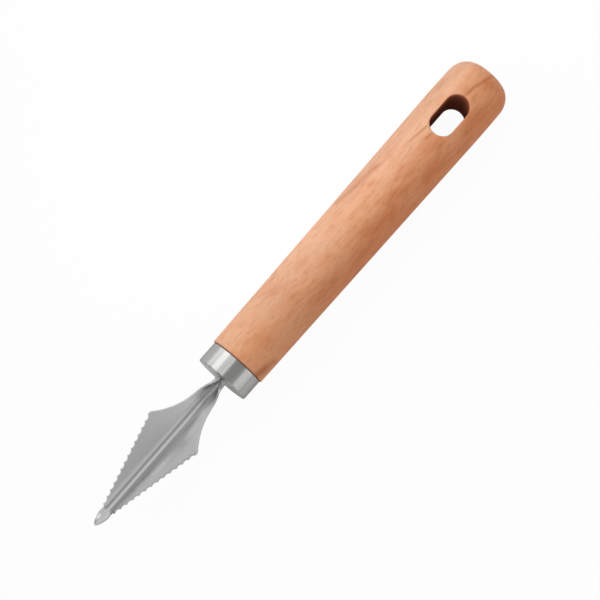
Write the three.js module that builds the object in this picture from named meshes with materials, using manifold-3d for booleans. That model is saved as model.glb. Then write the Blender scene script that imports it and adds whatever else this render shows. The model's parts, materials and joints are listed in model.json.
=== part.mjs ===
// Fruit carving knife: a V-blade with scalloped edges pressed from one steel sheet, a drawn steel ferrule
// and a turned wooden handle with a hanging slot, bonded together round the blade's tubular tang.
// Millimetres, +Z up. The knife lies along X with its tip at -X and the hollow of the blade facing up.
// Reach is the distance from the ferrule's front face towards the tip, so it is negative inside the handle.

import * as THREE from "three";
import { mergeVertices } from "three/addons/utils/BufferGeometryUtils.js";
import Module from "manifold-3d";

// Blade sheet, its V fold and its rolled neck
const sheetThickness = 0.7;
const wingAngle = THREE.MathUtils.degToRad(35);
const troughAngle = THREE.MathUtils.degToRad(50);
const leafAngle = THREE.MathUtils.degToRad(2);
const foldFlat = 0.6;
const foldRadius = 3;
const neckDiameter = 4.2;
const seamGap = 0.4;
const neckLength = 0.52;
const lipLength = 7.4;
const closingLength = 12;

// Blade outline
const bladeReach = 63.2;
const shoulderReach = 23.6;
const shoulderRounding = 1;
const bladeWidth = 21.2;
const leafLength = 7.15;
const leafWidth = 3.95;
const leafRootWidth = 3.75;
const leafRootStep = 0.7;
const leafBelly = 4.4;
const leafTaper = 0.3;
const leafTipWidth = 0.5;
const edgeRootWidth = 5.15;
const waistReach = 3.64;
const waistWidth = 8;
const waistCurve = 2.46;

// Scallops along the two cutting edges
const toothPitch = 2.42;
const toothDepth = 0.6;
const toothLand = 0.2;

// Tang, bore and bond
const tangDepth = 42;
const bondThickness = 0.6;
const bondFloor = 1.5;
const bondRecess = 0.4;

// Ferrule, a drawn cap over the front of the handle
const ferruleDiameter = 19.8;
const ferruleLength = 7.65;
const ferruleWall = 0.7;
const ferruleFront = 0.9;
const ferruleRounding = 0.9;
const spigotChamfer = 0.8;

// Handle
const handleLength = 128.75;
const woodProud = 0.48;
const handleButtDiameter = 23.05;
const handleShoulderRounding = 0.6;
const domeLength = 7.4;
const buttFlatDiameter = 10.4;
const slotLength = 15.9;
const slotWidth = 8.6;
const slotFromButt = 21.25;

// Clearances
const fitClearance = 0.2;
const bondClearance = 0.15;

// Facets of the turned pieces and cutters
const roundSides = 32;
const boreSides = 24;
const scallopSides = 24;
const roundingSteps = 3;
const domeSteps = 5;
const slotEndSteps = 6;

// Rows along the blade and columns across half of it
const tipRows = 8;
const leafRows = 8;
const wingRows = 3;
const shoulderRows = 6;
const waistRows = 5;
const closingRows = 7;
const lipRows = 10;
const bendColumns = 3;
const wingColumns = 6;
const bendMostShare = 0.6;

// Worked out from the sizes above
const neckMidRadius = (neckDiameter - sheetThickness) / 2;
const neckHalf = Math.PI * neckMidRadius - seamGap / 2;
const bendLength = foldRadius * wingAngle;
const foldEdge = foldFlat / 2 + bendLength;
const shoulderHalf = flatWidth(bladeWidth / 2);
const edgeRootHalf = flatWidth(edgeRootWidth / 2);
const leafRootReach = bladeReach - leafLength;
const bellyReach = bladeReach - leafBelly;
const ferruleRadius = ferruleDiameter / 2;
const ferruleHoleRadius = neckDiameter / 2 + fitClearance;
const ferruleInnerRadius = ferruleRadius - ferruleWall;
const spigotFront = ferruleFront + fitClearance;
const handleFront = ferruleLength + fitClearance;
const handleEnd = handleFront + handleLength;
const handleFrontRadius = ferruleRadius + woodProud;
const handleButtRadius = handleButtDiameter / 2;
const bondInnerRadius = neckDiameter / 2 + bondClearance;
const bondOuterRadius = bondInnerRadius + bondThickness;
const bondEnd = tangDepth + bondClearance + bondFloor;
const boreRadius = bondOuterRadius + bondClearance;
const boreEnd = bondEnd + bondClearance;

const wasm = await Module();
wasm.setup();

// Half width of the flat blank whose folded wing reaches the given half width, seen from above
function flatWidth(half) {
  const overBend = foldFlat / 2 + (foldRadius + sheetThickness / 2) * Math.sin(wingAngle);
  return foldEdge + (half - overBend) / Math.cos(wingAngle);
}

// Steps from one value to another, with both ends
function steps(from, to, count) {
  return Array.from({ length: count + 1 }, (_, i) => THREE.MathUtils.lerp(from, to, i / count));
}

// The lesser of two values, rounded where they cross
function roundedLesser(a, b, rounding) {
  const near = Math.max(rounding - Math.abs(a - b), 0) / rounding;
  return Math.min(a, b) - (near * near * rounding) / 4;
}

// Half width of the flat blank: neck, waist that narrows and flares, tapering wing, then the leaf at the tip
function blankHalf(reach) {
  if (reach >= leafRootReach) return leafHalf(reach);
  const waistHalf = waistWidth / 2;
  if (reach < waistReach) {
    const narrowed = THREE.MathUtils.smoothstep(reach, neckLength, waistReach);
    return THREE.MathUtils.lerp(neckHalf, waistHalf, narrowed);
  }
  const flare = (reach - waistReach) / (shoulderReach - waistReach);
  const waist = waistHalf + (shoulderHalf - waistHalf) * flare ** waistCurve;
  const along = (reach - shoulderReach) / (leafRootReach - shoulderReach);
  const wing = THREE.MathUtils.lerp(shoulderHalf, edgeRootHalf, along);
  return roundedLesser(waist, wing, shoulderRounding);
}

// Half width of the leaf: it steps in from the last tooth, swells a little and rounds off to the tip
function leafHalf(reach) {
  const past = (reach - bellyReach) / leafBelly;
  if (past > 0) {
    const rounded = Math.sqrt(Math.max(1 - past * past, 0)) * (1 - leafTaper * past);
    return Math.max((leafWidth / 2) * rounded, leafTipWidth / 2);
  }
  const stepEnd = leafRootReach + leafRootStep;
  if (reach < stepEnd) {
    const across = (stepEnd - reach) / leafRootStep;
    return THREE.MathUtils.lerp(leafRootWidth / 2, edgeRootHalf, across * across);
  }
  const swell = THREE.MathUtils.smoothstep(reach, stepEnd, bellyReach);
  return THREE.MathUtils.lerp(leafRootWidth, leafWidth, swell) / 2;
}

// Share of the tube's roll in the sheet: all of it in the neck, whose lips part into the trough of the V
function rolled(reach) {
  return 1 - THREE.MathUtils.smoothstep(reach, neckLength, neckLength + lipLength);
}

// Angle that the sheet has turned through at a distance across the blank from the middle of the fold:
// a V with a narrow flat in the wings, which closes to a steep trough and a tube towards the neck
// and is pressed nearly flat in the leaf
function turn(across, reach) {
  const opened = THREE.MathUtils.smoothstep(reach, 0, closingLength);
  const flattened = THREE.MathUtils.smoothstep(reach, leafRootReach, bellyReach);
  const wing = THREE.MathUtils.lerp(troughAngle, wingAngle, opened);
  const fold = THREE.MathUtils.lerp(wing, leafAngle, flattened);
  const folded = fold * THREE.MathUtils.clamp((across - foldFlat / 2) / bendLength, 0, 1);
  return THREE.MathUtils.lerp(folded, across / neckMidRadius, rolled(reach));
}

// Middle of the sheet, and its turn, at places across one half of the blank
function halfSection(reach) {
  const half = blankHalf(reach);
  const bendEnd = Math.min(foldEdge, half * bendMostShare);
  const bendStart = bendEnd * (foldFlat / 2 / foldEdge);
  const bend = steps(bendStart, bendEnd, bendColumns);
  const places = [0, ...bend, ...steps(bendEnd, half, wingColumns).slice(1)];
  const points = [];
  let y = 0;
  let z = -neckMidRadius;
  places.forEach((across, i) => {
    const advance = i ? across - places[i - 1] : 0;
    const heading = turn(across - advance / 2, reach);
    y += advance * Math.cos(heading);
    z += advance * Math.sin(heading);
    points.push({ y, z, turn: turn(across, reach) });
  });
  return points;
}

// One row of points on the hollow face, or on the outer face, from edge to edge across the blade
function faceRow(reach, offset) {
  const half = halfSection(reach).map((p) => ({
    y: p.y - offset * Math.sin(p.turn),
    z: p.z + offset * Math.cos(p.turn),
  }));
  const right = half.map((p) => new THREE.Vector3(-reach, -p.y, p.z)).reverse();
  const left = half.slice(1).map((p) => new THREE.Vector3(-reach, p.y, p.z));
  return [...right, ...left];
}

// Closed sheet between two grids of points, its rows running along +X and its columns along +Y
function sheetGeometry(upper, lower) {
  const rows = upper.length;
  const columns = upper[0].length;
  const top = (i, j) => i * columns + j;
  const bottom = (i, j) => rows * columns + top(i, j);
  const index = [];
  const quad = (a, b, c, d) => index.push(a, b, c, a, c, d);
  for (let i = 0; i + 1 < rows; i++) {
    for (let j = 0; j + 1 < columns; j++) {
      quad(top(i, j), top(i + 1, j), top(i + 1, j + 1), top(i, j + 1));
      quad(bottom(i, j), bottom(i, j + 1), bottom(i + 1, j + 1), bottom(i + 1, j));
    }
    const last = columns - 1;
    quad(bottom(i, 0), bottom(i + 1, 0), top(i + 1, 0), top(i, 0));
    quad(top(i, last), top(i + 1, last), bottom(i + 1, last), bottom(i, last));
  }
  for (let j = 0; j + 1 < columns; j++) {
    const end = rows - 1;
    quad(bottom(0, j), top(0, j), top(0, j + 1), bottom(0, j + 1));
    quad(top(end, j), bottom(end, j), bottom(end, j + 1), top(end, j + 1));
  }
  const geometry = new THREE.BufferGeometry().setFromPoints([...upper, ...lower].flat());
  geometry.setIndex(index);
  return geometry;
}

function toSolid(geometry) {
  const bare = geometry.clone();
  bare.deleteAttribute("normal");
  bare.deleteAttribute("uv");
  const merged = mergeVertices(bare, 1e-4);
  const triVerts = [];
  for (let i = 0; i < merged.index.count; i += 3) {
    const [a, b, c] = [0, 1, 2].map((k) => merged.index.getX(i + k));
    if (a !== b && b !== c && c !== a) triVerts.push(a, b, c);
  }
  const vertProperties = new Float32Array(merged.attributes.position.array);
  const mesh = new wasm.Mesh({ numProp: 3, vertProperties, triVerts: new Uint32Array(triVerts) });
  return new wasm.Manifold(mesh);
}

function toGeometry(solid) {
  const mesh = solid.getMesh();
  const geometry = new THREE.BufferGeometry();
  geometry.setAttribute("position", new THREE.BufferAttribute(mesh.vertProperties, 3));
  geometry.setIndex(new THREE.BufferAttribute(mesh.triVerts, 1));
  geometry.computeVertexNormals();
  return geometry;
}

// Solid of revolution about X, from an outline of radius against x, with a facet facing straight down
function turned(outline, sides, curveSteps) {
  const lathe = new THREE.LatheGeometry(outline.getPoints(curveSteps), sides, Math.PI / sides);
  return lathe.rotateZ(-Math.PI / 2);
}

// Round cutter for one scallop, its axis square to the sheet and its chord on the straight cutting edge
function scallop(reach, side) {
  const edgeAt = (r) => {
    const edge = halfSection(r).at(-1);
    return new THREE.Vector3(-r, side * edge.y, edge.z);
  };
  const { turn: tilt } = halfSection(reach).at(-1);
  const normal = new THREE.Vector3(0, -side * Math.sin(tilt), Math.cos(tilt));
  const along = edgeAt(reach - toothPitch / 2).sub(edgeAt(reach + toothPitch / 2));
  const chord = along.length() - toothLand;
  const radius = (chord ** 2 / 4 + toothDepth ** 2) / (2 * toothDepth);
  const across = new THREE.Vector3().crossVectors(along.normalize(), normal);
  const centre = edgeAt(reach).addScaledVector(across, -side * (radius - toothDepth));
  const frame = new THREE.Matrix4().makeBasis(along, normal, across).setPosition(centre);
  const height = 2 * neckDiameter;
  return new THREE.CylinderGeometry(radius, radius, height, scallopSides).applyMatrix4(frame);
}

function bladeGeometry() {
  const tip = steps(0, Math.PI / 2, tipRows).map((angle) => bellyReach + leafBelly * Math.cos(angle));
  const wingEnd = shoulderReach + shoulderRounding;
  const waistEnd = shoulderReach - shoulderRounding;
  const reaches = [
    ...tip,
    ...steps(bellyReach, leafRootReach, leafRows).slice(1),
    ...steps(leafRootReach, wingEnd, wingRows).slice(1),
    ...steps(wingEnd, waistEnd, shoulderRows).slice(1),
    ...steps(waistEnd, closingLength, waistRows).slice(1),
    ...steps(closingLength, neckLength + lipLength, closingRows).slice(1),
    ...steps(neckLength + lipLength, neckLength, lipRows).slice(1),
    -tangDepth,
  ];
  const upper = reaches.map((reach) => faceRow(reach, sheetThickness / 2));
  const lower = reaches.map((reach) => faceRow(reach, -sheetThickness / 2));
  let blade = toSolid(sheetGeometry(upper, lower));

  const toothCount = Math.floor((leafRootReach - shoulderReach) / toothPitch);
  for (let tooth = 0; tooth < toothCount; tooth++) {
    const reach = leafRootReach - (tooth + 0.5) * toothPitch;
    for (const side of [-1, 1]) blade = blade.subtract(toSolid(scallop(reach, side)));
  }
  return toGeometry(blade);
}

// Drawn cap: flat front with a hole for the neck, rounded front edge and a thin skirt over the spigot
function ferruleGeometry() {
  const roundingRadius = ferruleRadius - ferruleRounding;
  const outline = new THREE.Path()
    .moveTo(ferruleHoleRadius, 0)
    .lineTo(roundingRadius, 0)
    .absarc(roundingRadius, ferruleRounding, ferruleRounding, -Math.PI / 2, 0)
    .lineTo(ferruleRadius, ferruleLength)
    .lineTo(ferruleInnerRadius, ferruleLength)
    .lineTo(ferruleInnerRadius, ferruleFront)
    .lineTo(ferruleHoleRadius, ferruleFront)
    .lineTo(ferruleHoleRadius, 0);
  return turned(outline, roundSides, roundingSteps);
}

// Turned handle: bore, spigot, rounded shoulder, straight taper and domed butt with a small flat
function handleGeometry() {
  const spigotRadius = ferruleInnerRadius - fitClearance;
  const rounding = handleShoulderRounding;
  const roundingRadius = handleFrontRadius - rounding;
  const flatRadius = buttFlatDiameter / 2;
  const domeStart = handleEnd - domeLength;
  const outline = new THREE.Path()
    .moveTo(0, boreEnd)
    .lineTo(boreRadius, boreEnd)
    .lineTo(boreRadius, spigotFront)
    .lineTo(spigotRadius - spigotChamfer, spigotFront)
    .lineTo(spigotRadius, spigotFront + spigotChamfer)
    .lineTo(spigotRadius, handleFront)
    .lineTo(roundingRadius, handleFront)
    .absarc(roundingRadius, handleFront + rounding, rounding, -Math.PI / 2, 0)
    .lineTo(handleButtRadius, domeStart)
    .absellipse(flatRadius, domeStart, handleButtRadius - flatRadius, domeLength, 0, Math.PI / 2)
    .lineTo(0, handleEnd);
  const body = toSolid(turned(outline, roundSides, domeSteps));
  return toGeometry(body.subtract(toSolid(slotCutter())));
}

// Round-ended slot through the handle from top to bottom
function slotCutter() {
  const radius = slotWidth / 2;
  const centre = handleEnd - slotFromButt;
  const straight = (slotLength - slotWidth) / 2;
  const outline = new THREE.Shape()
    .absarc(centre + straight, 0, radius, -Math.PI / 2, Math.PI / 2)
    .absarc(centre - straight, 0, radius, Math.PI / 2, (3 * Math.PI) / 2);
  const depth = 2 * handleButtDiameter;
  const options = { depth, bevelEnabled: false, curveSegments: slotEndSteps };
  return new THREE.ExtrudeGeometry(outline, options).translate(0, 0, -depth / 2);
}

// Resin cup that fills the bore round the tang and under its end
function bondGeometry() {
  const outline = new THREE.Path()
    .moveTo(0, tangDepth + bondClearance)
    .lineTo(bondInnerRadius, tangDepth + bondClearance)
    .lineTo(bondInnerRadius, spigotFront + bondRecess)
    .lineTo(bondOuterRadius, spigotFront + bondRecess)
    .lineTo(bondOuterRadius, bondEnd)
    .lineTo(0, bondEnd);
  return turned(outline, boreSides);
}

const pressedSteel = new THREE.MeshStandardMaterial({ color: 0xb4b5b4, roughness: 0.38, metalness: 1 });
const drawnSteel = new THREE.MeshStandardMaterial({ color: 0xc2c3c2, roughness: 0.28, metalness: 1 });
const turnedWood = new THREE.MeshStandardMaterial({ color: 0xd29a72, roughness: 0.55, metalness: 0 });
const resin = new THREE.MeshStandardMaterial({ color: 0xd8cda8, roughness: 0.4, metalness: 0 });

const knife = new THREE.Group();
function addPiece(name, geometry, material) {
  const piece = new THREE.Mesh(geometry, material);
  piece.name = name;
  knife.add(piece);
}
addPiece("blade", bladeGeometry(), pressedSteel);
addPiece("ferrule", ferruleGeometry(), drawnSteel);
addPiece("handle", handleGeometry(), turnedWood);
addPiece("tang_adhesive", bondGeometry(), resin);

// The whole knife rests on the lowest facet of its handle, with the origin under the middle of its length
const widestRadius = Math.max(handleFrontRadius, handleButtRadius);
const restHeight = widestRadius * Math.cos(Math.PI / roundSides);
knife.position.set((bladeReach - handleEnd) / 2, 0, restHeight);

const part = new THREE.Group();
part.add(knife);
export default part;
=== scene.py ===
# Fruit carving knife: a V-blade of pressed steel, a steel ferrule and a turned wooden handle.
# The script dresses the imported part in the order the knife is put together, in metres, +Z up.
# The knife lies along X with its tip at -X and the hollow of the blade facing up.

import json
import math

import bmesh
import bpy
from mathutils import Matrix, Vector


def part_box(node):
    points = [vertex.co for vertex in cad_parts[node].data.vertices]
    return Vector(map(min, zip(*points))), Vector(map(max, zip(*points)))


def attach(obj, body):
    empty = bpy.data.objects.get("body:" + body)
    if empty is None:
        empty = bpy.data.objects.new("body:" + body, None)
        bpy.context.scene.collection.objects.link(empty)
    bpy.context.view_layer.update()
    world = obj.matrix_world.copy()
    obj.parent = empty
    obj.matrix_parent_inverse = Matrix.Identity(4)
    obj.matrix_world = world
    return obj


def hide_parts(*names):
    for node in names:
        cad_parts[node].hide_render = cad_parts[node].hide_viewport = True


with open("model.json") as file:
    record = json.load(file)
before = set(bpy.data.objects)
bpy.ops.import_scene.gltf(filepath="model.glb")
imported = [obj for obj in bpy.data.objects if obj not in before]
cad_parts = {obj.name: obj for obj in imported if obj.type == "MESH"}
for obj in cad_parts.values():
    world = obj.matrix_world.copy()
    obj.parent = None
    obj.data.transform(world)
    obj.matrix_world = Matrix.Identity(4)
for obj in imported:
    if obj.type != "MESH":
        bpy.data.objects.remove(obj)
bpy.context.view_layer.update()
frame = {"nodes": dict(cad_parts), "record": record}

# Blade: one blank of stainless sheet, stamped with scalloped edges, pressed to a V along its middle
# and rolled at the back to a tube with an open seam. The tube runs on into the handle as the tang,
# where resin holds it. The sheet keeps its satin from the rolling mill; its stamped edges are eased.
MM = 0.001
blade_low, blade_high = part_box("blade")
ferrule_low, ferrule_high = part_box("ferrule")
face_x = ferrule_low.x
axis_z = (ferrule_low.z + ferrule_high.z) / 2
blade_reach = face_x - blade_low.x
tang_depth = blade_high.x - face_x

sheet_thickness = 0.7 * MM
wing_angle = math.radians(35)
trough_angle = math.radians(50)
leaf_angle = math.radians(2)
fold_flat = 0.6 * MM
fold_radius = 3 * MM
neck_diameter = 4.2 * MM
seam_gap = 0.4 * MM
neck_length = 0.52 * MM
lip_length = 7.4 * MM
closing_length = 12 * MM
shoulder_reach = 23.6 * MM
shoulder_rounding = 1 * MM
blade_width = 21.2 * MM
leaf_length = 7.15 * MM
leaf_width = 3.95 * MM
leaf_root_width = 3.75 * MM
leaf_root_step = 0.7 * MM
leaf_belly = 4.4 * MM
leaf_taper = 0.3
leaf_tip_width = 0.5 * MM
leaf_grind = 0.3 * MM
leaf_grind_slope = 0.7
fold_fade = 1.7 * MM
fold_past_root = 1.3 * MM
edge_root_width = 5.15 * MM
waist_reach = 3.64 * MM
waist_width = 8 * MM
waist_curve = 2.46
tooth_pitch = 2.42 * MM
tooth_depth = 0.6 * MM
tooth_land = 0.2 * MM
stamped_edge_ease = 0.06 * MM
stamped_edge_angle = math.radians(50)
merge_distance = 0.001 * MM

bend_columns = 10
wing_columns = 24
bend_most_share = 0.6
tip_rows = 18
leaf_rows = 14
scallop_rows = 12
shoulder_rows = 14
waist_rows = 18
closing_rows = 24
lip_rows = 40
tang_rows = 6

neck_middle = (neck_diameter - sheet_thickness) / 2
neck_half = math.pi * neck_middle - seam_gap / 2
bend_length = fold_radius * wing_angle
fold_edge = fold_flat / 2 + bend_length
leaf_root = blade_reach - leaf_length
belly_reach = blade_reach - leaf_belly
fold_end = leaf_root + fold_past_root


def spaced(start, end, count):
    return [start + (end - start) * step / count for step in range(count + 1)]


def between(start, end, share):
    return start + (end - start) * share


def eased(value, start, end):
    share = min(max((value - start) / (end - start), 0), 1)
    return share * share * (3 - 2 * share)


# Half width of the flat blank whose folded wing reaches the given half width, seen from above
def unfolded(half):
    over_bend = fold_flat / 2 + (fold_radius + sheet_thickness / 2) * math.sin(wing_angle)
    return fold_edge + (half - over_bend) / math.cos(wing_angle)


shoulder_half = unfolded(blade_width / 2)
edge_root_half = unfolded(edge_root_width / 2)


# The straight line on which the points of the teeth lie, in the flat blank
def tooth_line(reach):
    return between(shoulder_half, edge_root_half, (reach - shoulder_reach) / (leaf_root - shoulder_reach))


def waist_half(reach):
    if reach < waist_reach:
        return between(neck_half, waist_width / 2, eased(reach, neck_length, waist_reach))
    flare = (reach - waist_reach) / (shoulder_reach - waist_reach)
    waist = between(waist_width / 2, shoulder_half, flare**waist_curve)
    wing = tooth_line(reach)
    near = max(shoulder_rounding - abs(waist - wing), 0) / shoulder_rounding
    return min(waist, wing) - near * near * shoulder_rounding / 4


def leaf_half(reach):
    past = (reach - belly_reach) / leaf_belly
    if past > 0:
        rounded = math.sqrt(max(1 - past * past, 0)) * (1 - leaf_taper * past)
        return max(leaf_width / 2 * rounded, leaf_tip_width / 2)
    step_end = leaf_root + leaf_root_step
    if reach < step_end:
        across = (step_end - reach) / leaf_root_step
        return between(leaf_root_width / 2, edge_root_half, across * across)
    return between(leaf_root_width, leaf_width, eased(reach, step_end, belly_reach)) / 2


# Places along one scallop: an arc of the punch from one tooth's land to the next
def scallop(first_reach):
    last_reach = first_reach - tooth_pitch
    first = Vector((first_reach, tooth_line(first_reach)))
    last = Vector((last_reach, tooth_line(last_reach)))
    along = (last - first).normalized()
    inward = Vector((-along.y, along.x))
    chord = (last - first).length - tooth_land
    radius = (chord**2 / 4 + tooth_depth**2) / (2 * tooth_depth)
    centre = (first + last) / 2 - inward * (radius - tooth_depth)
    sweep = math.asin(chord / 2 / radius)
    return [
        centre + radius * (math.sin(angle) * along + math.cos(angle) * inward)
        for angle in spaced(-sweep, sweep, scallop_rows)
    ]


# Rows of the blank from the tip to the end of the tang: reach, and half width there
blank_rows = [
    (reach, leaf_half(reach))
    for angle in spaced(0, math.pi / 2, tip_rows)
    for reach in [belly_reach + leaf_belly * math.cos(angle)]
]
blank_rows += [(reach, leaf_half(reach)) for reach in spaced(belly_reach, leaf_root, leaf_rows)[1:]]
tooth_count = math.floor((leaf_root - shoulder_reach) / tooth_pitch)
for tooth in range(tooth_count):
    blank_rows += [tuple(place) for place in scallop(leaf_root - tooth * tooth_pitch)]
wing_end = leaf_root - tooth_count * tooth_pitch
waist_end = shoulder_reach - shoulder_rounding
lip_end = neck_length + lip_length
back_reaches = [
    *spaced(wing_end, waist_end, shoulder_rows),
    *spaced(waist_end, closing_length, waist_rows)[1:],
    *spaced(closing_length, lip_end, closing_rows)[1:],
    *spaced(lip_end, neck_length, lip_rows)[1:],
    *spaced(neck_length, -tang_depth, tang_rows)[1:],
]
blank_rows += [(reach, waist_half(reach)) for reach in back_reaches]


# Angle that the press has turned the sheet through, at a distance across from the middle of the fold
def sheet_turn(across, reach):
    wing = between(trough_angle, wing_angle, eased(reach, 0, closing_length))
    fold = between(wing, leaf_angle, eased(reach, fold_end - fold_fade, fold_end))
    folded = fold * min(max((across - fold_flat / 2) / bend_length, 0), 1)
    return between(across / neck_middle, folded, eased(reach, neck_length, lip_end))


# One pressed row of half the sheet, on the hollow face or the outer one
def pressed_row(reach, half, offset):
    bend_end = min(fold_edge, half * bend_most_share)
    bend_start = bend_end * (fold_flat / 2 / fold_edge)
    places = [0, *spaced(bend_start, bend_end, bend_columns), *spaced(bend_end, half, wing_columns)[1:]]
    row = []
    y, z, last = 0, -neck_middle, 0
    for across in places:
        heading = sheet_turn((across + last) / 2, reach)
        y += (across - last) * math.cos(heading)
        z += (across - last) * math.sin(heading)
        turn = sheet_turn(across, reach)
        ground = 0
        if offset > 0 and reach > leaf_root + leaf_root_step:
            ground = leaf_grind_slope * max(leaf_grind - (half - across), 0)
        row.append(Vector((
            face_x - reach,
            y - offset * math.sin(turn),
            axis_z + z + offset * math.cos(turn) - ground,
        )))
        last = across
    return row


blade_mesh = bmesh.new()
row_count = len(blank_rows) - 1
column_count = bend_columns + wing_columns + 1
for offset in (sheet_thickness / 2, -sheet_thickness / 2):
    sheet = bmesh.ops.create_grid(blade_mesh, x_segments=row_count, y_segments=column_count, size=1)
    pressed = [pressed_row(reach, half, offset) for reach, half in blank_rows]
    for vert in sheet["verts"]:
        row = round((vert.co.x + 1) / 2 * row_count)
        column = round((vert.co.y + 1) / 2 * column_count)
        vert.co = pressed[row][column]
bmesh.ops.mirror(blade_mesh, geom=blade_mesh.faces[:] + blade_mesh.edges[:] + blade_mesh.verts[:],
                 axis="Y", merge_dist=merge_distance)
rims = [edge for edge in blade_mesh.edges if edge.is_boundary]
bmesh.ops.bridge_loops(blade_mesh, edges=rims)
bmesh.ops.recalc_face_normals(blade_mesh, faces=blade_mesh.faces)


# Edges where a piece turns more sharply than the given angle
def sharp_edges(mesh, angle):
    return [edge for edge in mesh.edges if edge.is_manifold and edge.calc_face_angle() > angle]


def eased_edges(mesh, edges, width, segments):
    bmesh.ops.bevel(mesh, geom=edges, offset=width, offset_type="OFFSET", segments=segments,
                    profile=0.5, affect="EDGES", material=-1, clamp_overlap=True)


eased_edges(blade_mesh, sharp_edges(blade_mesh, stamped_edge_angle), stamped_edge_ease, segments=2)


# A finished piece: its object at the origin, riding on the knife in place of its solid
def finished_piece(name, mesh, material, node):
    data = bpy.data.meshes.new(name)
    mesh.to_mesh(data)
    mesh.free()
    for face in data.polygons:
        face.use_smooth = True
    data.materials.append(material)
    piece = bpy.data.objects.new(name, data)
    bpy.context.scene.collection.objects.link(piece)
    weighted = piece.modifiers.new("even shading", "WEIGHTED_NORMAL")
    weighted.keep_sharp = True
    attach(piece, "root")
    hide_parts(node)
    return piece


# A wire of a finish's node tree: sums on wires add Math nodes, and node() adds any other node
class Wire:
    def __init__(self, socket):
        self.socket = socket
        self.tree = socket.id_data

    @classmethod
    def node(cls, tree, kind, settings=None, sockets=None, output=0):
        node = tree.nodes.new(kind)
        for name, value in (settings or {}).items():
            if name == "stops":
                ramp = node.color_ramp
                while len(ramp.elements) < len(value):
                    ramp.elements.new(1)
                for element, (place, colour) in zip(ramp.elements, value):
                    element.position = place
                    element.color = (*colour, 1)
            else:
                setattr(node, name, value)
        for name, value in (sockets or {}).items():
            if isinstance(value, Wire):
                tree.links.new(value.socket, node.inputs[name])
            else:
                node.inputs[name].default_value = value
        return cls(node.outputs[output]) if node.outputs else node

    def sum(self, operation, *terms):
        return Wire.node(self.tree, "ShaderNodeMath", {"operation": operation}, dict(enumerate(terms)))

    def __add__(self, other):
        return self.sum("ADD", self, other)

    def __radd__(self, other):
        return self.sum("ADD", other, self)

    def __sub__(self, other):
        return self.sum("SUBTRACT", self, other)

    def __rsub__(self, other):
        return self.sum("SUBTRACT", other, self)

    def __mul__(self, other):
        return self.sum("MULTIPLY", self, other)

    def __rmul__(self, other):
        return self.sum("MULTIPLY", other, self)

    def __truediv__(self, other):
        return self.sum("DIVIDE", self, other)

    def __rtruediv__(self, other):
        return self.sum("DIVIDE", other, self)

    def __pow__(self, other):
        return self.sum("POWER", self, other)

    def __rpow__(self, other):
        return self.sum("POWER", other, self)

    def __abs__(self):
        return self.sum("ABSOLUTE", self)

    def sine(self):
        return self.sum("SINE", self)


# A new finish: its material, its shader node and the wire of places on the piece
def new_finish(name):
    material = bpy.data.materials.new(name)
    material.use_nodes = True
    tree = material.node_tree
    shader = tree.nodes["Principled BSDF"]
    place = Wire.node(tree, "ShaderNodeTexCoord", output="Object")
    return material, shader, place


# Noise drawn out along the piece: its grain is this long along X and this fine across it
def drawn_noise(place, length, width, detail=2.0, roughness=0.5):
    stretched = Wire.node(place.tree, "ShaderNodeVectorMath", {"operation": "MULTIPLY"},
                          {0: place, 1: (1 / length, 1 / width, 1 / width)})
    return Wire.node(place.tree, "ShaderNodeTexNoise", {},
                     {"Vector": stretched, "Scale": 1.0, "Detail": detail, "Roughness": roughness})


# Rises from 0 to 1 between two values of the wire
def fade(wire, start, end):
    return Wire.node(wire.tree, "ShaderNodeMapRange", {"interpolation_type": "SMOOTHSTEP"},
                     {"Value": wire, "From Min": start, "From Max": end})


# Rises between the first two of four places and falls between the last two, all in mm
def within(wire, rise_start, rise_end, fall_start, fall_end):
    rise = fade(wire, rise_start * MM, rise_end * MM)
    return rise * (1 - fade(wire, fall_start * MM, fall_end * MM))


def mixed(share, first, second):
    return Wire.node(share.tree, "ShaderNodeMix", {"data_type": "RGBA"},
                     {"Factor": share, 6: first, 7: second}, output=2)


def tinted(share, colour, tint):
    return Wire.node(share.tree, "ShaderNodeMix", {"data_type": "RGBA", "blend_type": "MULTIPLY"},
                     {"Factor": share, 6: colour, 7: tint}, output=2)


def link(wire, shader, socket):
    wire.tree.links.new(wire.socket, shader.inputs[socket])


def bumped(shader, height, depth, strength=1.0):
    bump = Wire.node(height.tree, "ShaderNodeBump", {},
                     {"Height": height, "Distance": depth, "Strength": strength})
    link(bump, shader, "Normal")


# Places on a piece measured from the knife's axis: along from the ferrule's face, to the side, and up
def knife_places(place):
    along, side, height = (
        Wire.node(place.tree, "ShaderNodeSeparateXYZ", {}, {0: place}, output=axis) for axis in "XYZ")
    return along - face_x, side, height - axis_z


pressed_steel_light = (0.67, 0.67, 0.665, 1)
pressed_steel_dark = (0.605, 0.605, 0.605, 1)
# Factors by which painted shade darkens the steel's colour
neck_painted_shade = 0.74
bend_painted_shade = 0.58
root_painted_shade = 0.36
tip_painted_shade = 0.7
# Factors by which painted highlights brighten the steel's colour
lip_painted_highlight = 1.45
heel_painted_highlight = 1.13
leaf_painted_highlight = 1.6
fold_painted_highlight = 1.45
pressed_steel, shader, place = new_finish("pressed_steel")
mill_lines = drawn_noise(place, 12 * MM, 0.12 * MM)
clouding = drawn_noise(place, 7 * MM, 5 * MM)
along, left = knife_places(place)[:2]
right = -1 * left
out = abs(left)
forward = -1 * along
past_root = forward - leaf_root
from_tip = blade_reach - forward
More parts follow.
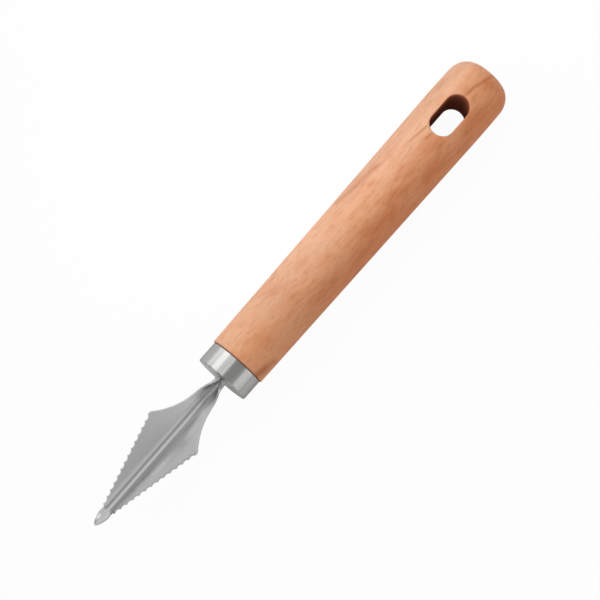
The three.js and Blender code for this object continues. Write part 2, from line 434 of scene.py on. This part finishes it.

# Painted shade darkens the steel in the neck, on the right bend, at the tip and by the root of the leaf,
# and painted highlights brighten the neck's lip, the heel of the left wing, the leaf and both sides of the
# fold
in_neck = (1 - fade(out, 1.1 * MM, 5 * MM)) * within(forward, 5.5, 8, 8, 12)
in_throat = (1 - fade(out, 0.9 * MM, 1.7 * MM)) * within(forward, 1.5, 3, 5.5, 8)
on_right_bend = within(right, -0.2, 0.35, 0.9, 1.9) * within(forward, 1.5, 4, 9, 19)
on_lip = fade(left, 0.8 * MM, 1.3 * MM) * within(forward, 0.5, 1.5, 2.8, 4.8)
on_heel = fade(left, 2 * MM, 3 * MM) * within(forward, 8, 11, 16, 34)
on_leaf = within(left, 0.3, 0.7, 1.1, 1.6) * within(from_tip, 1.8, 2.6, 3.4, 4.2)
at_tip = fade(left, 0, 0.4 * MM) * (1 - fade(from_tip, 1.2 * MM, 1.9 * MM))
in_root = fade(right, 1.3 * MM, 1.7 * MM) * within(past_root, -0.5, 0, 0.8, 1.3)
by_root = within(right, 1.2, 1.6, 2.2, 3.6) * within(past_root, -13, -8.5, -0.4, 0.4)
left_of_fold = within(left, 1, 1.4, 2, 2.8) * fade(forward, 12 * MM, 20 * MM)
right_of_fold = within(right, 1.5, 2.1, 3.3, 5.2) * within(forward, 15, 24.5, 32, 43)
steel = mixed(0.5 * mill_lines + 0.5 * clouding, pressed_steel_dark, pressed_steel_light)
for share, shade in [
    (in_neck + in_throat, neck_painted_shade),
    (on_right_bend, bend_painted_shade),
    (on_lip, lip_painted_highlight),
    (on_heel, heel_painted_highlight),
    (on_leaf, leaf_painted_highlight),
    (at_tip, tip_painted_shade),
    (in_root, root_painted_shade),
    (0.55 * by_root, bend_painted_shade),
    (0.47 * left_of_fold + right_of_fold, fold_painted_highlight),
]:
    steel = tinted(share, steel, (shade, shade, shade, 1))
link(steel, shader, "Base Color")
on_neck_sides = fade(left, 0.3 * MM, 1.2 * MM) + fade(right, 1.2 * MM, 1.8 * MM)
neck_dulling = (0.06 + 0.14 * on_neck_sides) * (1 - fade(forward, 7 * MM, 12 * MM))
link(0.15 + 0.06 * mill_lines + 0.04 * clouding + neck_dulling, shader, "Roughness")
shader.inputs["Metallic"].default_value = 1.0
bumped(shader, mill_lines, 0.004 * MM)

finished_piece("pressed_blade", blade_mesh, pressed_steel, "blade")

# Ferrule: a cap drawn from thin steel over the front of the handle, with a hole for the blade's neck.
# It is polished on a lathe, which leaves fine lines round it, and the resin behind it holds it on.
ferrule_radius = ferrule_high.y
ferrule_length = ferrule_high.x - ferrule_low.x
ferrule_wall = 0.7 * MM
ferrule_front = 0.9 * MM
ferrule_rounding = 0.5 * MM
fit_clearance = 0.2 * MM
ferrule_hole = neck_diameter / 2 + fit_clearance
ferrule_edge_ease = 0.12 * MM
ferrule_sides = 160
ring_tolerance = 0.01 * MM

ferrule_mesh = bmesh.new()


# Turns an outline, given as distance along from the ferrule's face and radius, round the knife's axis
def turned(mesh, outline, sides, closed):
    verts = [mesh.verts.new((face_x + along, 0, axis_z + radius)) for along, radius in outline]
    edges = [mesh.edges.new(pair) for pair in zip(verts, verts[1:])]
    if closed:
        edges.append(mesh.edges.new((verts[-1], verts[0])))
    bmesh.ops.spin(mesh, geom=verts + edges, cent=(face_x, 0, axis_z), axis=(1, 0, 0),
                   angle=2 * math.pi, steps=sides, use_merge=True)
    bmesh.ops.remove_doubles(mesh, verts=mesh.verts, dist=merge_distance)
    bmesh.ops.recalc_face_normals(mesh, faces=mesh.faces)


# Edges of the ring that a turned piece has at this distance along and radius
def ring(mesh, along, radius):
    def on_ring(vert):
        out = math.hypot(vert.co.y, vert.co.z - axis_z)
        return abs(vert.co.x - face_x - along) < ring_tolerance and abs(out - radius) < ring_tolerance

    return [edge for edge in mesh.edges if all(on_ring(vert) for vert in edge.verts)]


turned(ferrule_mesh, [
    (0, ferrule_hole),
    (0, ferrule_radius),
    (ferrule_length, ferrule_radius),
    (ferrule_length, ferrule_radius - ferrule_wall),
    (ferrule_front, ferrule_radius - ferrule_wall),
    (ferrule_front, ferrule_hole),
], ferrule_sides, closed=True)
eased_edges(ferrule_mesh, ring(ferrule_mesh, 0, ferrule_radius), ferrule_rounding, segments=6)
cut_edges = ring(ferrule_mesh, ferrule_length, ferrule_radius) + ring(ferrule_mesh, 0, ferrule_hole)
eased_edges(ferrule_mesh, cut_edges, ferrule_edge_ease, segments=3)

drawn_steel_light = (0.53, 0.53, 0.52, 1)
drawn_steel_dark = (0.465, 0.465, 0.46, 1)
drawn_steel_grazed = (0.7, 0.7, 0.7, 1)
front_edge_painted_shade = (0.58, 0.58, 0.58, 1)
drawn_steel, shader, place = new_finish("drawn_steel")
lathe_lines = drawn_noise(place, 0.09 * MM, 14 * MM)
wiping = drawn_noise(place, 2 * MM, 4 * MM)
along, side, height = knife_places(place)
# Painted shade darkens the top of the front edge, over the neck
at_top = fade(height, ferrule_radius - 2.6 * MM, ferrule_radius - 1.2 * MM)
over_neck = 1 - fade(abs(side), 1.6 * MM, 2.8 * MM)
on_front_edge = at_top * over_neck * (1 - fade(along, 0.25 * MM, 0.5 * MM))
steel = mixed(0.6 * lathe_lines + 0.4 * wiping, drawn_steel_dark, drawn_steel_light)
link(tinted(on_front_edge, steel, front_edge_painted_shade), shader, "Base Color")
link(0.12 + 0.08 * lathe_lines + 0.05 * wiping, shader, "Roughness")
shader.inputs["Metallic"].default_value = 1.0
shader.inputs["Specular Tint"].default_value = drawn_steel_grazed
bumped(shader, lathe_lines, 0.003 * MM)

finished_piece("drawn_ferrule", ferrule_mesh, drawn_steel, "ferrule")

# Handle: turned from a stick of close-grained hardwood, bored for the tang and cut down at the front to a
# spigot for the ferrule. A slot for a hook is routed through it, which scorches the slot's wall, and
# painted shade darkens that wall deeper in the slot.
# It is sanded and lightly oiled, and the resin in the bore holds blade, ferrule and handle together.
handle_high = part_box("handle")[1]
handle_front = ferrule_length + fit_clearance
handle_end = handle_high.x - face_x
handle_front_radius = 10.33 * MM
handle_widest = 118 * MM
handle_widest_radius = handle_high.z - axis_z
handle_dome_radius = handle_widest_radius - 0.1 * MM
dome_length = 7.4 * MM
butt_flat = 10.4 * MM
handle_shoulder = 0.5 * MM
spigot_front = ferrule_front + fit_clearance
spigot_radius = ferrule_radius - ferrule_wall - fit_clearance
bore_radius = 3 * MM
bore_end = 43.8 * MM
slot_mount = next(mount for mount in frame["record"]["mounts"] if mount["name"] == "slot_wall")
slot_centre = slot_mount["pos_m"][0] - face_x
slot_length = 15.9 * MM
slot_width = 8.6 * MM
slot_rounding = 0.45 * MM
handle_sides = 128
handle_rows = 24
slot_patch_length = 26 * MM
slot_patch_rows = 20
slot_patch_columns = 32
slot_end_sides = 76
slot_side_cuts = (2 * (slot_patch_rows + slot_patch_columns) - slot_end_sides) // 2
slot_ring_cuts = 4
dome_rows = 18
dome_start = handle_end - dome_length


def handle_radius(along):
    if along < handle_widest:
        return between(handle_front_radius, handle_widest_radius,
                       (along - handle_front) / (handle_widest - handle_front))
    past = (along - handle_widest) / (dome_start - handle_widest)
    return between(handle_widest_radius, handle_dome_radius, past * past)


handle_mesh = bmesh.new()
patch_start = slot_centre - slot_patch_length / 2
patch_end = slot_centre + slot_patch_length / 2
sides_along = [
    *spaced(handle_front, patch_start, handle_rows),
    *spaced(patch_start, patch_end, slot_patch_rows)[1:],
]
dome = [
    (dome_start + dome_length * math.sin(angle),
     between(butt_flat / 2, handle_dome_radius, math.cos(angle)))
    for angle in spaced(0, math.pi / 2, dome_rows)
]
turned(handle_mesh, [
    (bore_end, 0),
    (bore_end, bore_radius),
    (spigot_front, bore_radius),
    (spigot_front, spigot_radius),
    (handle_front, spigot_radius),
    *[(along, handle_radius(along)) for along in sides_along],
    *dome[1:],
    (handle_end, 0),
], handle_sides, closed=False)
eased_edges(handle_mesh, ring(handle_mesh, handle_front, handle_front_radius), handle_shoulder, segments=5)
patch_half_turn = slot_patch_columns / 2 * 2 * math.pi / handle_sides


# Whether a face of the handle's side makes way for the slot, above or below the axis
def in_patch(face, upward):
    middle = face.calc_center_median()
    turn = abs(math.atan2(middle.y, upward * (middle.z - axis_z)))
    return patch_start < middle.x - face_x < patch_end and turn < patch_half_turn


# Lays a vertex of the handle's side back on its round, above or below the axis
def laid_on_round(vert, upward):
    radius = handle_radius(vert.co.x - face_x)
    vert.co.z = axis_z + upward * math.sqrt(radius**2 - vert.co.y**2)


slot_rims = []
slot_spread = (slot_length - slot_width) / 2
slot_half_side = math.pi / slot_end_sides
slot_place = (Matrix.Translation((face_x + slot_centre, 0, axis_z))
              @ Matrix.Rotation(slot_half_side, 4, "Z"))
for upward in (1, -1):
    cut_out = [face for face in handle_mesh.faces if in_patch(face, upward)]
    bmesh.ops.delete(handle_mesh, geom=cut_out, context="FACES")
    opening = [edge for edge in handle_mesh.edges if edge.is_boundary
               and all(upward * (vert.co.z - axis_z) > 0 for vert in edge.verts)]
    made = bmesh.ops.create_circle(handle_mesh, segments=slot_end_sides, radius=slot_width / 2,
                                   matrix=slot_place)
    for vert in made["verts"]:
        vert.co.x += math.copysign(slot_spread, vert.co.x - face_x - slot_centre)
    straight = [edge for edge in handle_mesh.edges if edge.is_wire and edge.calc_length() > slot_spread]
    bmesh.ops.subdivide_edges(handle_mesh, edges=straight, cuts=slot_side_cuts)
    rim = [edge for edge in handle_mesh.edges if edge.is_wire]
    rim_verts = {vert for edge in rim for vert in edge.verts}
    for vert in rim_verts:
        laid_on_round(vert, upward)
    band = bmesh.ops.bridge_loops(handle_mesh, edges=opening + rim)
    spokes = [edge for edge in band["edges"] if sum(vert in rim_verts for vert in edge.verts) == 1]
    rings = bmesh.ops.subdivide_edges(handle_mesh, edges=spokes, cuts=slot_ring_cuts, use_grid_fill=True)
    for part in rings["geom_inner"]:
        if isinstance(part, bmesh.types.BMVert):
            laid_on_round(part, upward)
    slot_rims.append(rim)
slot_wall = bmesh.ops.bridge_loops(handle_mesh, edges=slot_rims[0] + slot_rims[1])
bmesh.ops.recalc_face_normals(handle_mesh, faces=handle_mesh.faces)
for face in slot_wall["faces"]:
    face.material_index = 1
eased_edges(handle_mesh, slot_rims[0] + slot_rims[1], slot_rounding, segments=5)

# Sapwood to heartwood across the handle, which also paints light: the left side paler, the right side
# darker
sapwood_and_lit_side = (0.695, 0.385, 0.24)
middle_wood = (0.75, 0.365, 0.196)
heartwood_and_shaded_side = (0.645, 0.23, 0.087)
front_painted_light_wood = (0.71, 0.345, 0.183, 1)
late_growth = (0.8, 0.72, 0.64, 1)
wood_vein = (0.42, 0.12, 0.04, 1)
heart_flush = (0.94, 0.85, 0.74, 1)
front_painted_light = (1.12, 1.1, 1.06, 1)
mottled = (0.935, 0.85, 0.8, 1)
flecked = (0.89, 0.82, 0.77, 1)
butt_painted_shade = (0.88, 0.87, 0.87, 1)
seam_stain = (0.1, 0.045, 0.03, 1)
scorch_light = (0.5, 0.18, 0.09, 1)
scorch_and_painted_shade = (0.33, 0.115, 0.06, 1)
pith_side = -70 * MM
pith_height = -45 * MM
ring_spacing = 2.2 * MM
ring_wander = 8 * MM
side_tone_spread = 20 * MM
vein_wander = 1.8 * MM
scorch_and_shade_wander = 2 * MM

turned_wood, shader, place = new_finish("turned_wood")
along, side, height = knife_places(place)
drift = drawn_noise(place, 60 * MM, 14 * MM)
mottling = drawn_noise(place, 12 * MM, 6 * MM)
flecks = drawn_noise(place, 3.2 * MM, 1.4 * MM, detail=3.0, roughness=0.6)
fibres = drawn_noise(place, 7 * MM, 0.16 * MM, detail=3.0)
pores = drawn_noise(place, 1.6 * MM, 0.13 * MM)
from_pith = ((side - pith_side) ** 2 + (height - pith_height) ** 2) ** 0.5 + ring_wander * drift
growth = 0.5 + 0.5 * (from_pith * (2 * math.pi / ring_spacing)).sine()
# Paler to the left and darker to the right: heartwood, and painted light and shade across the handle
heart_and_shaded_side = 0.5 - side / side_tone_spread + 0.5 * (drift - 0.5) + 0.5 * (mottling - 0.5)
wood = Wire.node(place.tree, "ShaderNodeValToRGB",
                 {"stops": [(0.1, sapwood_and_lit_side), (0.5, middle_wood), (0.9, heartwood_and_shaded_side)]}, {"Fac": heart_and_shaded_side})
wood = tinted(0.3 * growth * mottling + 0.45 * fade(fibres, 0.35, 0.75), wood, late_growth)
# Painted light: the wood near the ferrule is made lighter, most on the right side
wood = mixed(0.6 * fade(heart_and_shaded_side, 0.35, 0.7) * (1 - fade(along, 15 * MM, 60 * MM)), wood, front_painted_light_wood)
wood = tinted(1 - fade(along, handle_front + 4 * MM, handle_front + 26 * MM), wood, front_painted_light)
wood = tinted(fade(mottling, 0.45, 0.75), wood, mottled)
wood = tinted(fade(flecks, 0.45, 0.75), wood, flecked)
wood = tinted(0.5 * fade(pores, 0.62, 0.72), wood, late_growth)

# Veins on the upper side, by the ferrule, along the left and by the slot: the place along the handle
# and to the side where each starts and ends, its width and its depth of colour
veins = [
    ((handle_front + 0.2 * MM, -8.3 * MM), (handle_front + 9 * MM, -9.9 * MM), 1.8 * MM, 0.7),
    ((handle_front - 0.5 * MM, -8.6 * MM), (handle_front + 5 * MM, -9.2 * MM), 1.6 * MM, 0.7),
    ((slot_centre - 47 * MM, 9.4 * MM), (slot_centre - 28 * MM, 7.2 * MM), 1.5 * MM, 0.5),
    ((slot_centre - 30 * MM, 7.4 * MM), (slot_centre - 15 * MM, 4.3 * MM), 0.8 * MM, 0.25),
    ((slot_centre + 8.2 * MM, 0.5 * MM), (handle_end - 0.4 * MM, -1.8 * MM), 1.1 * MM, 0.7),
    ((slot_centre - 15.5 * MM, 4.2 * MM), (slot_centre - 7.8 * MM, 3.2 * MM), 0.7 * MM, 0.7),
    ((slot_centre - 12 * MM, 1.3 * MM), (slot_centre - 8.4 * MM, 0.6 * MM), 0.6 * MM, 0.7),
]
for (start, start_side), (end, end_side), width, depth in veins:
    slope = (end_side - start_side) / (end - start)
    off_line = abs(side - start_side - slope * (along - start) + vein_wander * (mottling - 0.5))
    between_ends = fade(along, start - MM, start + MM) * (1 - fade(along, end - MM, end + MM))
    vein = (1 - fade(off_line, 0, width)) * between_ends * fade(height, 0, MM)
    wood = mixed(depth * vein * fade(fibres, 0.2, 0.6), wood, wood_vein)
behind_slot = fade(along, slot_centre + 6 * MM, slot_centre + 10 * MM)
behind_slot = behind_slot * (1 - fade(abs(side), 2.5 * MM, 5 * MM)) * fade(height, 0, MM)
wood = tinted(behind_slot, wood, heart_flush)
# Painted shade darkens the left side of the butt half
left_of_butt = fade(side, 5.5 * MM, 9 * MM) * fade(along, 55 * MM, 80 * MM)
wood = tinted(left_of_butt, wood, butt_painted_shade)
gathered = 1 - fade(along, handle_front + 0.1 * MM, handle_front + 0.5 * MM)
wood = mixed(0.35 * gathered, wood, seam_stain)
link(wood, shader, "Base Color")
link(0.46 + 0.16 * fibres, shader, "Roughness")
shader.inputs["Specular IOR Level"].default_value = 0.3
bumped(shader, fibres + 0.5 * pores, 0.02 * MM, 0.5)

# The slot's wall: scorched wood, with painted shade that darkens it deeper in the slot
scorched_wood, shader, place = new_finish("scorched_wood")
side, height = knife_places(place)[1:]
charring = drawn_noise(place, 1.2 * MM, 3 * MM)
inward = handle_widest_radius - (side**2 + height**2) ** 0.5
deep_scorch_and_shade = fade(inward + scorch_and_shade_wander * (charring - 0.5), 0.4 * MM, 2.2 * MM)
link(mixed(deep_scorch_and_shade, scorch_light, scorch_and_painted_shade), shader, "Base Color")
link(0.8 + 0.15 * charring, shader, "Roughness")
shader.inputs["Specular IOR Level"].default_value = 0.1
bumped(shader, charring, 0.05 * MM, 0.5)

handle = finished_piece("turned_handle", handle_mesh, turned_wood, "handle")
handle.data.materials.append(scorched_wood)

# Tang resin: two-part resin poured into the bore, where it sets round the tang and under its end.
# It is shut in by the handle and the ferrule, and keeps the shape of the bore.
resin_light = (0.72, 0.64, 0.44, 1)
resin_dark = (0.62, 0.54, 0.34, 1)
cured_resin, shader, place = new_finish("cured_resin")
settling = drawn_noise(place, 4 * MM, 1.5 * MM)
link(mixed(settling, resin_dark, resin_light), shader, "Base Color")
link(0.35 + 0.15 * settling, shader, "Roughness")
resin_node = frame["nodes"]["tang_adhesive"]
resin_node.data.materials.clear()
resin_node.data.materials.append(cured_resin)

# Studio floor: a sheet of pale card much larger than the knife, which lies on it and shades it a little.
# The card glows towards the camera, so that it shows white, and less so where metal mirrors it.
floor_size = 12.0
card_colour = (0.9, 0.9, 0.9, 1)
floor_glow = 0.955
floor_glow_in_metal = 0.1
floor_mesh = bmesh.new()
bmesh.ops.create_grid(floor_mesh, x_segments=1, y_segments=1, size=floor_size / 2)
floor_data = bpy.data.meshes.new("studio_floor")
floor_mesh.to_mesh(floor_data)
floor_mesh.free()
floor = bpy.data.objects.new("studio_floor", floor_data)
bpy.context.scene.collection.objects.link(floor)
pale_card, shader, place = new_finish("pale_card")
tree = place.tree
shader.inputs["Base Color"].default_value = card_colour
shader.inputs["Roughness"].default_value = 0.9
shader.inputs["Specular IOR Level"].default_value = 0.0
by_camera, in_metal, through_glass = (
    Wire.node(tree, "ShaderNodeLightPath", output=kind)
    for kind in ("Is Camera Ray", "Is Glossy Ray", "Is Transmission Ray"))
seen_share = floor_glow * by_camera + floor_glow_in_metal * (in_metal + through_glass)
glow = Wire.node(tree, "ShaderNodeEmission", {}, {"Color": (1, 1, 1, 1), "Strength": 1.0})
surface = Wire.node(tree, "ShaderNodeMixShader", {},
                    {0: seen_share, 1: Wire(shader.outputs["BSDF"]), 2: glow})
link(surface, tree.nodes["Material Output"], "Surface")
floor_data.materials.append(pale_card)

# Studio light: soft boxes laid parallel to the knife, in a pale room that is brighter near its horizon.
# Short boxes close to the ferrule give its bands, long ones light the handle from overhead, from the left
# and weakly from the right, and three more run on past the tip to light the blade.
room_light = 0.4
horizon_light = 0.92
world = bpy.data.worlds.new("studio_room")
bpy.context.scene.world = world
world.use_nodes = True
tree = world.node_tree
direction = Wire.node(tree, "ShaderNodeTexCoord", output="Generated")
upward = Wire.node(tree, "ShaderNodeSeparateXYZ", {}, {0: direction}, output=2)
room = between(horizon_light, room_light, fade(abs(upward), 0.1, 0.45))
link(room, tree.nodes["Background"], "Strength")
tree.nodes["Background"].inputs["Color"].default_value = (1, 1, 1, 1)


# A soft box parallel to the knife: its edges in degrees from overhead towards the knife's left,
# its ends along X, its brightness, and its distance from the knife's axis
def soft_box(name, angles, ends, brightness, distance):
    start, end = (math.radians(angle) for angle in angles)
    turn = (start + end) / 2
    lamp = bpy.data.lights.new(name, "AREA")
    lamp.shape = "RECTANGLE"
    lamp.size = ends[1] - ends[0]
    lamp.size_y = 2 * distance * math.tan((end - start) / 2)
    lamp.energy = brightness * math.pi * lamp.size * lamp.size_y
    box = bpy.data.objects.new(name, lamp)
    box.rotation_euler = (-turn, 0, 0)
    box.location = ((ends[0] + ends[1]) / 2, distance * math.sin(turn), axis_z + distance * math.cos(turn))
    box.visible_camera = False
    bpy.context.scene.collection.objects.link(box)


soft_box("ferrule_overhead_box", (2, 17.5), (-0.037, -0.012), 0.55, 0.1)
soft_box("overhead_box", (7, 17.5), (-0.012, 0.8), 1.36, 0.1)
soft_box("upper_left_box", (17.5, 30), (-0.037, 0.8), 0.7, 0.1)
soft_box("key_box", (31.5, 58), (-0.037, -0.01), 1.43, 0.1)
soft_box("handle_key_box", (29, 60), (-0.01, 0.12), 2.0, 0.1)
soft_box("butt_key_box", (31, 66), (0.12, 0.8), 0.5, 0.5)
soft_box("ferrule_left_box", (58, 75), (-0.033, -0.012), 0.78, 0.12)
soft_box("ferrule_low_box", (75, 94), (-0.033, -0.012), 0.35, 0.15)
soft_box("low_left_box", (60, 93), (-0.012, 0.8), 0.6, 0.15)
soft_box("ferrule_fill_box", (-72, -48), (-0.031, -0.012), 0.62, 0.15)
soft_box("fill_box", (-84, -51), (-0.012, 0.8), 0.49, 0.15)
soft_box("tip_overhead_box", (3, 13), (-0.8, -0.014), 0.57, 0.3)
soft_box("tip_key_box", (31, 66), (-0.9, -0.3), 1.0, 0.5)
soft_box("tip_fill_box", (-65, -37), (-0.8, -0.014), 0.17, 0.3)

# Camera: above the knife, a little towards the tip and its right side, turned so that the knife lies
# from the lower left of the picture to the upper right.
camera_place = Vector((-52.3, -68.4, 747)) * MM
camera_turn = (8.456, -0.655, -49.092)
camera_data = bpy.data.cameras.new("photo_camera")
camera_data.sensor_width = 36
camera_data.lens = 136.3
camera_data.clip_end = 50
camera = bpy.data.objects.new("photo_camera", camera_data)
camera.location = Vector((face_x, 0, axis_z)) + camera_place
camera.rotation_euler = [math.radians(angle) for angle in camera_turn]
bpy.context.scene.collection.objects.link(camera)
bpy.context.scene.camera = camera
bpy.context.scene.view_settings.view_transform = "Standard"
